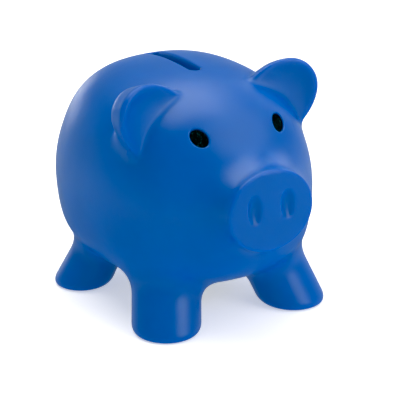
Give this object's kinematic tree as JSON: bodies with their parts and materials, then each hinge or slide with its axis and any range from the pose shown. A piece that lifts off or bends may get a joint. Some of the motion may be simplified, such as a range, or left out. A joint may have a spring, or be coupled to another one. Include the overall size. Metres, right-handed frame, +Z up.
{
  "type": "piggy bank",
  "caption": "Round soft-vinyl piggy bank on stub legs, with a coin slot along its back and a pull-out stopper in its belly.",
  "frame": {"origin": "on the floor, under the middle of the pig's length and width", "axes": "+Z up, the pig faces -Y, its left side is at +X"},
  "size_m": [0.0784, 0.103, 0.0816],
  "materials": {
    "blue_vinyl": "satin soft vinyl",
    "black_stopper": "matt",
    "black_eye": "slightly grainy black"
  },
  "bodies": {
    "bank": {"body_shell": "blue_vinyl", "left_eye": "black_eye", "right_eye": "black_eye"},
    "stopper": {"belly_stopper": "black_stopper"}
  },
  "joints": [
    {"name": "stopper_pull", "type": "slide", "parent": "bank", "child": "stopper", "axis": [0, 0, -1], "range_m": [0, 0.01]}
  ]
}
